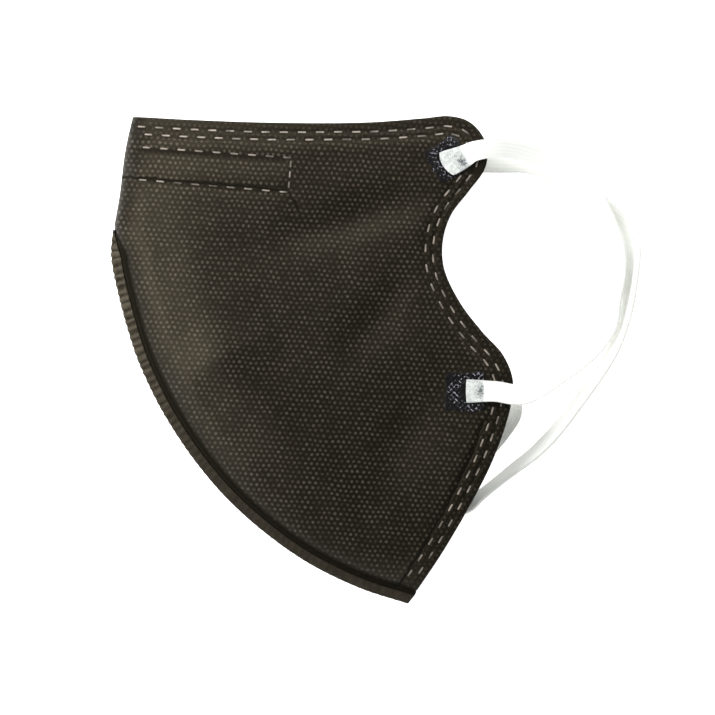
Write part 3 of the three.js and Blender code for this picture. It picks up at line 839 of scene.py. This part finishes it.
# Knurled weld along the front: both laminates melted into one ribbed strip with a scalloped edge. Its
# ridges fade towards the chin, and a thin tongue along its inner edge runs in between the two halves.
# Sizes of patterns are in mm. Uneven makes the ridges stray: by how much of a turn, turn per mm, start.
knurl = {
    "pitch": 2.33, "thickness": 1.2, "scallop": 0.22, "proud": 0.27, "step": 0.2, "cells": 14,
    "taperShare": 0.2, "ridge": 0.208, "ridgeReach": 0.55, "uneven": [(0.5, 0.9, 0), (0.4, 2.3, 1)],
    "lean": 0.7, "fade": 0.75, "fadeStart": 70, "fadeLength": 60, "edgeShare": 0.35, "edgeRound": 0.12,
    "chinSkew": 1.3, "tongue": 1.1, "tongueThickness": 0.1,
    # crest is a painted highlight on the ridges, and valley is painted shade between them
    "colour": "29251f", "crest": "433e36", "valley": "14110d", "seam": "050403", "chinShade": "070605",
    "shadeStart": 55, "shadeEnd": 105, "shade": 0.62, "seamStart": 0.76, "seamEnd": 0.93,
    "grainSize": 0.6667, "grainShare": 1.8, "blotSize": 2.381, "blotShare": 1.3,
    "crestLevels": (1.85, 2.65), "lowLevels": (1.25, 1.95),
    "roughness": 0.45, "chinRoughness": 0.7, "gloss": 0.26, "bump": 0.6, "bumpDepth": 0.12,
}


def makeKnurl(k, material):
    lam = laminate
    startShare = (lam["weldStart"] + lam["weldTaper"] * k["taperShare"]) / frontLength
    steps = round(frontLength * (1 - startShare) / k["step"])
    bm, upper, lower = slabMesh(steps, k["cells"], "strip")
    layer = bm.verts.layers.float_vector["strip"]
    for (verts, grid), side in ((upper, 1), (lower, -1)):
        share = startShare + (1 - startShare) * grid[:, 0]
        across = grid[:, 1]
        along = share * frontLength
        width = np.maximum(weldInset(share) - lam["gap"], 0.1)
        stray = sum(size * np.sin(along * turn + start) for size, turn, start in k["uneven"])
        ribbed = 1 - k["fade"] * smooth((along - k["fadeStart"]) / k["fadeLength"])
        wave = np.cos(2 * math.pi * along / k["pitch"] + stray + k["lean"] * across)
        crest = 0.5 + 0.5 * ribbed * wave
        inwards = (k["scallop"] * (1 - crest) - k["proud"]) * (1 - across) + width * across
        flat = frontPoint(share, inwards)
        toChin = smooth((share - 1) * frontLength / lam["weldTaper"] + 1) * across
        flat = flat + onLine(directions(frontLine), share) * (k["chinSkew"] * toChin)[:, None]
        inTongue = across > 1 - 1.5 / k["cells"]
        tip = np.where(across > 0.999, k["tongue"], 0)
        flat = flat + onLine(frontInward, share) * tip[:, None]
        rounded = roundRise(np.minimum(across, (1 - across) * 1.5) / k["edgeRound"])
        halfThick = k["thickness"] / 2 - k["ridge"] * (1 - crest) * bell(across - 0.5, k["ridgeReach"])
        halfThick *= k["edgeShare"] + (1 - k["edgeShare"]) * rounded
        z = lam["seamHeight"] + side * np.where(inTongue, k["tongueThickness"] / 2, halfThick)
        moveTo(verts, np.column_stack([flat * mm, z * mm]))
        for v, a, c, w in zip(verts, along, crest, across):
            v[layer] = (a, c, w)
    bmesh.ops.recalc_face_normals(bm, faces=bm.faces)
    obj = finished("front_weld_strip", bm, material, sharp=60)
    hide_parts("front_weld")


def makeWelded(k):
    # spunbond pressed by a knurled ultrasonic wheel: denser, a little glossy, and painted lighter on its
    # crests as a highlight
    material, tree, shader = newMaterial("ultrasonically welded spunbond")
    strip = addNode(tree, "Attribute", attribute_name="strip").outputs["Vector"]
    along, ridge, across = addNode(tree, "SeparateXYZ", {0: strip}).outputs  # mm, from 0 to 1, from 0 to 1
    place = addNode(tree, "TexCoord").outputs["Object"]
    grain = addNode(tree, "TexNoise",
                    {"Vector": place, "Scale": 1 / (k["grainSize"] * mm), "Detail": 4, "Roughness": 0.65})
    blots = addNode(tree, "TexNoise", {"Vector": place, "Scale": 1 / (k["blotSize"] * mm), "Detail": 2})
    # grain and blots mottle the strip, and each ridge's crest adds a painted highlight and its hollow painted
    # shade
    patchy = addNode(tree, "Math", {0: blots, 1: k["blotShare"], 2: ridge}, operation="MULTIPLY_ADD")
    worn = addNode(tree, "Math", {0: grain, 1: k["grainShare"], 2: patchy}, operation="MULTIPLY_ADD")
    crest = addNode(tree, "MapRange", {0: worn, 1: k["crestLevels"][0], 2: k["crestLevels"][1]})
    low = addNode(tree, "MapRange", {0: worn, 1: k["lowLevels"][0], 2: k["lowLevels"][1]})
    dark = addNode(tree, "Mix", {0: low, 6: hexColour(k["valley"]), 7: hexColour(k["colour"])},
                   data_type="RGBA")
    litAndShadedRidges = addNode(tree, "Mix", {0: crest, 6: dark, 7: hexColour(k["crest"])}, data_type="RGBA")
    toChin = addNode(tree, "MapRange",
                     {0: along, 1: k["shadeStart"], 2: k["shadeEnd"], 3: 0.0, 4: k["shade"]})
    shaded = addNode(tree, "Mix", {0: toChin, 6: litAndShadedRidges, 7: hexColour(k["chinShade"])}, data_type="RGBA")
    # painted shade along the inner edge, where the strip meets the groove under the panel
    seam = addNode(tree, "MapRange", {0: across, 1: k["seamStart"], 2: k["seamEnd"]})
    colour = addNode(tree, "Mix", {0: seam, 6: shaded, 7: hexColour(k["seam"])}, data_type="RGBA")
    rough = addNode(tree, "MapRange",
                    {0: along, 1: k["shadeStart"], 2: k["shadeEnd"],
                     3: k["roughness"], 4: k["chinRoughness"]})
    bump = addNode(tree, "Bump", {"Height": grain, "Strength": k["bump"], "Distance": k["bumpDepth"] * mm})
    setInputs(tree, shader, {
        "Base Color": colour, "Roughness": rough, "Normal": bump,
        "Specular IOR Level": k["gloss"], "Specular Tint": hexColour(spunbond["glossTint"]),
    })
    return material


makeKnurl(knurl, makeWelded(knurl))
print("front weld knurled")


def surfaceAt(tree, points, fromAbove):
    # where points, in mm, meet the laid cloth straight down, or straight up for the far half
    way = Vector((0, 0, -1 if fromAbove else 1))
    found = []
    for x, y in points:
        hit = tree.ray_cast(Vector((x * mm, y * mm, 0)) - way * 0.1, way)[0]
        found.append((hit or tree.find_nearest(Vector((x * mm, y * mm, 5 * mm)))[0]) / mm)
    return found


# Weld bars: melted through the laminate, so each is a smooth glossy bar in its own dimple, and its glint is
# also painted into a light grey colour
barGlintFinish = {
    "colour": "857c71", "dim": "3c372f", "roughness": 0.4,
    "toneSize": 3.846, "toneLevels": (0.32, 0.6),  # some bars have a dimmer painted glint, in patches of this many mm
}


def makeBarGlintFinish(f):
    material, tree, shader = newMaterial("melted polypropylene weld mark")
    place = addNode(tree, "TexCoord").outputs["Object"]
    grain = addNode(tree, "TexNoise", {"Vector": place, "Scale": 1 / (f["toneSize"] * mm), "Detail": 2})
    tone = addNode(tree, "MapRange", {0: grain, 1: f["toneLevels"][0], 2: f["toneLevels"][1]})
    colour = addNode(tree, "Mix", {0: tone, 6: hexColour(f["dim"]), 7: hexColour(f["colour"])},
                     data_type="RGBA")
    setInputs(tree, shader, {"Base Color": colour, "Roughness": f["roughness"]})
    return material


def rimBars(r):
    bars = []
    for row in r["rows"]:
        points, count = rowPlaces(row)
        for k in range(math.ceil(count[0] + 0.1), math.floor(count[-1] - 0.1) + 1):
            at, ahead = [np.array([np.interp(c, count, points[:, i]) for i in (0, 1)]) for c in (k, k + 0.04)]
            bars.append((at, ahead - at, r["length"], r["width"]))
    return bars


def pocketBars(k):
    bars = []
    for row in (k["upper"], k["lower"], k["end"]):
        a, b = np.array(row["ends"])
        way = (b - a) / np.linalg.norm(b - a)
        places = [row["first"] + row["pitch"] * i for i in range(row["count"])]
        bars += [(a + way * place, way, row["length"], k["width"]) for place in places]
    return bars


barShape = {"thickness": 0.26, "sink": 0.05, "rounding": 0.2}  # rounding is a share of each side


def makeBars(name, bars, tree, fromAbove, shape, material):
    template = bmesh.new()
    bmesh.ops.create_cube(template, size=1)
    bmesh.ops.bevel(template, geom=template.edges[:], offset=shape["rounding"], offset_type="OFFSET",
                    affect="EDGES", segments=2, profile=0.5, material=-1)
    mesh = bpy.data.meshes.new("bar_shape")
    template.to_mesh(mesh)
    template.free()
    bm = bmesh.new()
    for at, way, length, width in bars:
        way = np.array(way) / np.linalg.norm(way)
        aside = np.array([-way[1], way[0]])
        probes = [at - way * length / 2, at + way * length / 2, at, at - aside * 0.5, at + aside * 0.5]
        back, ahead, middle, right, left = surfaceAt(tree, probes, fromAbove)
        x = (ahead - back).normalized()
        up = x.cross(left - right).normalized()
        y = up.cross(x)
        outwards = up if fromAbove else -up
        centre = (back + ahead + middle) / 3 - outwards * shape["sink"]
        turn = Matrix((x, y, up)).transposed().to_4x4()
        size = Matrix.Diagonal((length, width, shape["thickness"], 1))
        before = len(bm.verts)
        bm.from_mesh(mesh)
        bm.verts.ensure_lookup_table()
        place = Matrix.Scale(mm, 4) @ Matrix.Translation(centre) @ turn @ size
        bmesh.ops.transform(bm, verts=bm.verts[before:], matrix=place)
    bpy.data.meshes.remove(mesh)
    obj = finished(name, bm, material)
    return obj


barGlintMaterial = makeBarGlintFinish(barGlintFinish)
onRim = rimBars(rimRows)
nearBars = makeBars("near_weld_bars", onRim + pocketBars(pocket), nearTree, True, barShape, barGlintMaterial)
farBars = makeBars("far_weld_bars", onRim, farTree, False, barShape, barGlintMaterial)
print("weld bars placed", len(nearBars.data.polygons), len(farBars.data.polygons))


# Pads under the ends of the ear loops: laminate melted to a glossy black skin by a crosshatched die,
# with broken bluish white lines painted along its hatch as glints. Sizes are in mm.
padFinish = {
    "skin": "050505", "worn": "1a1819", "hatchGlint": "92919c", "roughness": 0.42, "gloss": 0.15,
    "hatchPitch": 1.15, "hatchBend": 3.0, "bendSize": 1.4286, "lineLevels": (0.72, 0.95),
    "gapSizes": (0.7692, 0.6667), "gapSlice": 4500, "gapLevels": (0.53, 0.62), "blotSize": 0.9091, "blotLevels": (0.45, 0.68),
    "grainSize": 0.7143, "bump": 0.4, "bumpDepth": 0.08,
    "cells": 56, "rise": 0.1, "skinRise": 0.04, "rimDrop": 0.02, "rimShare": 0.1, "sunk": 0.3,
    "square": 8, "ragged": [(0.04, 5, "x"), (0.03, 11, "y")],
    "glintStart": 3.3, "glintStartFade": 0.6, "glintEnd": 6.6, "glintEndFade": 0.8, "glintRim": 0.12,
    "glintReach": 0.8,
}


def hatchTurn(f):  # turn per mm along either side of a pad, for lines that cross it at 45 degrees
    return 2 * math.pi / f["hatchPitch"] / math.sqrt(2)


def makePadFinish(f):
    material, tree, shader = newMaterial("melted black polypropylene")
    pad = addNode(tree, "Attribute", attribute_name="pad").outputs["Vector"]
    glintShare = addNode(tree, "SeparateXYZ", {0: pad}).outputs[2]
    place = addNode(tree, "TexCoord").outputs["Object"]
    bend = addNode(tree, "TexNoise", {"Vector": place, "Scale": 1 / (f["bendSize"] * mm), "Detail": 1})
    # the crosshatch lines, broken in places, are painted bluish white as glints on the hatch
    lines = []
    for k, sign in enumerate((1, -1)):
        turn = (hatchTurn(f), sign * hatchTurn(f), 0)
        phase = addNode(tree, "VectorMath", {0: pad, 1: turn}, operation="DOT_PRODUCT")
        bent = addNode(tree, "Math", {0: bend, 1: f["hatchBend"], 2: phase}, operation="MULTIPLY_ADD")
        wave = addNode(tree, "Math", {0: bent}, operation="COSINE")
        thin = addNode(tree, "MapRange", {0: wave, 1: f["lineLevels"][0], 2: f["lineLevels"][1]})
        gapSize = f["gapSizes"][k] * mm
        cut = f["gapSlice"] * k * gapSize  # so the gaps of the two sets of lines differ
        gaps = addNode(tree, "TexNoise", {"Vector": place, "W": cut, "Scale": 1 / gapSize, "Detail": 2},
                       noise_dimensions="4D")
        broken = addNode(tree, "MapRange", {0: gaps, 1: f["gapLevels"][0], 2: f["gapLevels"][1]})
        lines.append(addNode(tree, "Math", {0: thin, 1: broken}, operation="MULTIPLY"))
    both = addNode(tree, "Math", {0: lines[0], 1: lines[1]}, operation="MAXIMUM")
    hatchGlint = addNode(tree, "Math", {0: both, 1: glintShare}, operation="MULTIPLY")
    blots = addNode(tree, "TexNoise",
                    {"Vector": place, "Scale": 1 / (f["blotSize"] * mm), "Detail": 4, "Roughness": 0.7})
    tone = addNode(tree, "MapRange", {0: blots, 1: f["blotLevels"][0], 2: f["blotLevels"][1]})
    skin = addNode(tree, "Mix", {0: tone, 6: hexColour(f["skin"]), 7: hexColour(f["worn"])}, data_type="RGBA")
    colour = addNode(tree, "Mix", {0: hatchGlint, 6: skin, 7: hexColour(f["hatchGlint"])}, data_type="RGBA")
    grain = addNode(tree, "TexNoise", {"Vector": place, "Scale": 1 / (f["grainSize"] * mm), "Detail": 3})
    bump = addNode(tree, "Bump", {"Height": grain, "Strength": f["bump"], "Distance": f["bumpDepth"] * mm})
    setInputs(tree, shader, {
        "Base Color": colour, "Normal": bump, "Roughness": f["roughness"], "Specular IOR Level": f["gloss"],
    })
    return material


def makePads(name, welds, tree, fromAbove, f, material):
    bm = bmesh.new()
    bm.verts.layers.float_vector.new("pad")
    outwards = 1 if fromAbove else -1
    for weld in welds:
        slab, upper, lower = slabMesh(f["cells"], f["cells"], "pad")
        layer = slab.verts.layers.float_vector["pad"]  # mm along and across the pad, share of painted glints
        for (verts, grid), isSkin in ((upper, True), (lower, False)):
            square = grid * 2 - 1
            edge = np.abs(square).max(axis=1)
            corner = np.maximum((np.abs(square) ** f["square"]).sum(axis=1), 1e-9) ** (1 / f["square"])
            around = np.arctan2(square[:, 1], square[:, 0])
            ragged = 1 + sum(size * np.sin(lobes * around + weld[axis]) for size, lobes, axis in f["ragged"])
            flat = square * (ragged * edge / corner)[:, None] * (weld["long"], weld["wide"])
            along, across = flat[:, 0], flat[:, 1]
            c, s = math.cos(math.radians(weld["turn"])), math.sin(math.radians(weld["turn"]))
            x = weld["x"] + along * c - across * s
            y = weld["y"] + along * s + across * c
            ground = np.array([tuple(v) for v in surfaceAt(tree, zip(x, y), fromAbove)])[:, 2]
            if isSkin:
                turn = hatchTurn(f)
                ridges = np.maximum(np.cos(turn * (along + across)), np.cos(turn * (along - across)))
                rise = f["rise"] * (0.5 + 0.5 * ridges) + f["skinRise"]
                z = ground + outwards * (rise * smooth((1 - edge) / f["rimShare"]) - f["rimDrop"])
                away = np.hypot(x - weld["endX"], y - weld["endY"])
                hatchGlints = smooth((away - f["glintStart"]) / f["glintStartFade"])
                hatchGlints *= 1 - smooth((away - f["glintEnd"]) / f["glintEndFade"])
                hatchGlints *= smooth((1 - edge) / f["glintRim"]) * (along < weld["long"] * f["glintReach"])
            else:
                z = ground - outwards * f["sunk"]
                hatchGlints = np.zeros(len(x))
            moveTo(verts, np.column_stack([x, y, z]) * mm)
            for v, value in zip(verts, np.column_stack([flat, hatchGlints])):
                v[layer] = value
        bmesh.ops.recalc_face_normals(slab, faces=slab.faces)
        part = bpy.data.meshes.new("pad")
        slab.to_mesh(part)
        slab.free()
        bm.from_mesh(part)
        bpy.data.meshes.remove(part)
    obj = finished(name, bm, material)


padMaterial = makePadFinish(padFinish)
makePads("near_weld_pads", nearWelds, nearTree, True, padFinish, padMaterial)
makePads("far_weld_pads", farWelds, farTree, False, padFinish, padMaterial)
print("loop weld pads pressed")


# Plain pale floor, lit from behind so that shadows stay faint, and soft studio lights round its left and
# top sides and far in front. Each light has its place and size in metres and its power in watts.
studio = {
    "floor": "f4f4f2", "floorRoughness": 0.9, "floorGloss": 0.1, "floorGlow": 0.86, "floorReach": 2.5,
    "floorDrop": 0.05, "world": 0.05,
    "lights": [
        ("key", (-0.277, 0.024, 0.259), 0.2, 1.1),
        ("low", (-0.314, -0.146, 0.200), 0.2, 0.68),
        ("upperLeft", (-0.139, 0.241, 0.259), 0.2, 1.0),
        ("corner", (0.212, 0.367, 0.424), 0.3, 2.4),
        ("front", (0.150, -1.200, 0.650), 0.7, 5.4),
    ],
}


def makeStudio(s):
    white = (1, 1, 1, 1)
    bm = bmesh.new()
    bmesh.ops.create_grid(bm, x_segments=1, y_segments=1, size=s["floorReach"])
    bmesh.ops.translate(bm, verts=bm.verts, vec=(0, 0, -s["floorDrop"] * mm))
    mesh = bpy.data.meshes.new("floor")
    bm.to_mesh(mesh)
    bm.free()
    material, tree, shader = newMaterial("matt white acrylic")
    setInputs(tree, shader, {
        "Base Color": hexColour(s["floor"]), "Roughness": s["floorRoughness"],
        "Specular IOR Level": s["floorGloss"], "Emission Color": white, "Emission Strength": s["floorGlow"],
    })
    mesh.materials.append(material)
    floor = bpy.data.objects.new("floor", mesh)
    bpy.context.scene.collection.objects.link(floor)
    for name, place, size, power in s["lights"]:
        lamp = bpy.data.lights.new(name, "AREA")
        lamp.shape = "DISK"
        lamp.size = size
        lamp.energy = power
        obj = bpy.data.objects.new(name, lamp)
        obj.location = place
        obj.rotation_euler = (-Vector(place)).to_track_quat("-Z", "Y").to_euler()
        bpy.context.scene.collection.objects.link(obj)
    world = bpy.data.worlds.new("studio")
    world.use_nodes = True
    background = world.node_tree.nodes["Background"]
    setInputs(world.node_tree, background, {"Color": white, "Strength": s["world"]})
    bpy.context.scene.world = world
    bpy.context.scene.view_settings.view_transform = "Standard"


makeStudio(studio)
print("studio set")
